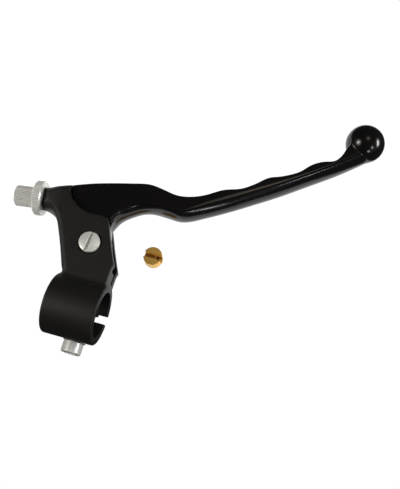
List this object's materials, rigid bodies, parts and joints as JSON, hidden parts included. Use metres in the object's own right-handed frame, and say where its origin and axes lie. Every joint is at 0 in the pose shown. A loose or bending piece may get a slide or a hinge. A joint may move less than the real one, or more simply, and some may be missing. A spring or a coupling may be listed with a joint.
{
  "type": "motorcycle clutch lever with handlebar clamp",
  "caption": "Motorcycle clutch lever: split handlebar clamp with forked arm, ball-ended lever with finger hollows, slotted pivot screw, knurled cable adjuster and brass cable trunnion.",
  "frame": {"origin": "centre of the handlebar bore, at the middle of the clamp ring", "axes": "+X along the handlebar towards the ball end, +Y forwards away from the rider, +Z out of the face with the pivot screw's head"},
  "size_m": [0.1744, 0.1506, 0.0371],
  "materials": {
    "satin_black_coat": "satin powder coat on die-cast alloy",
    "gloss_black_coat": "gloss coat on forged alloy",
    "zinc_plate": "bright zinc plate",
    "brass": "machined",
    "bronze": "machined"
  },
  "bodies": {
    "perch": {"perch_body": "satin_black_coat", "pivot_screw": "zinc_plate", "pivot_nut": "zinc_plate", "pivot_spring_washer": "zinc_plate", "clamp_bolt": "zinc_plate", "clamp_washer": "zinc_plate", "clamp_nut": "zinc_plate"},
    "lever": {"lever_blade": "gloss_black_coat", "pivot_bush": "bronze"},
    "trunnion": {"cable_trunnion": "brass"},
    "adjuster": {"adjuster_barrel": "zinc_plate"},
    "lock_ring": {"adjuster_lock_ring": "zinc_plate"}
  },
  "joints": [
    {"name": "lever_pull", "type": "hinge", "parent": "perch", "child": "lever", "pos_m": [-0.0025, 0.031, 0], "axis": [0, 0, -1], "range_deg": [0, 34]},
    {"name": "trunnion_swivel", "type": "hinge", "parent": "lever", "child": "trunnion", "pos_m": [-0.01, 0.05314, 0], "axis": [0, 0, -1], "range_deg": [-32, 0]},
    {"name": "adjuster_travel", "type": "slide", "parent": "perch", "child": "adjuster", "axis": [-0.9912, -0.1323, 0], "range_m": [0, 0.008]},
    {"name": "lock_ring_spin", "type": "hinge", "parent": "perch", "child": "lock_ring", "pos_m": [-0.0366, 0.0495, 0], "axis": [0.9912, 0.1323, 0], "continuous": true}
  ],
  "couplings": [
    {"joint": "trunnion_swivel", "follows": "lever_pull", "ratio": -0.9}
  ]
}
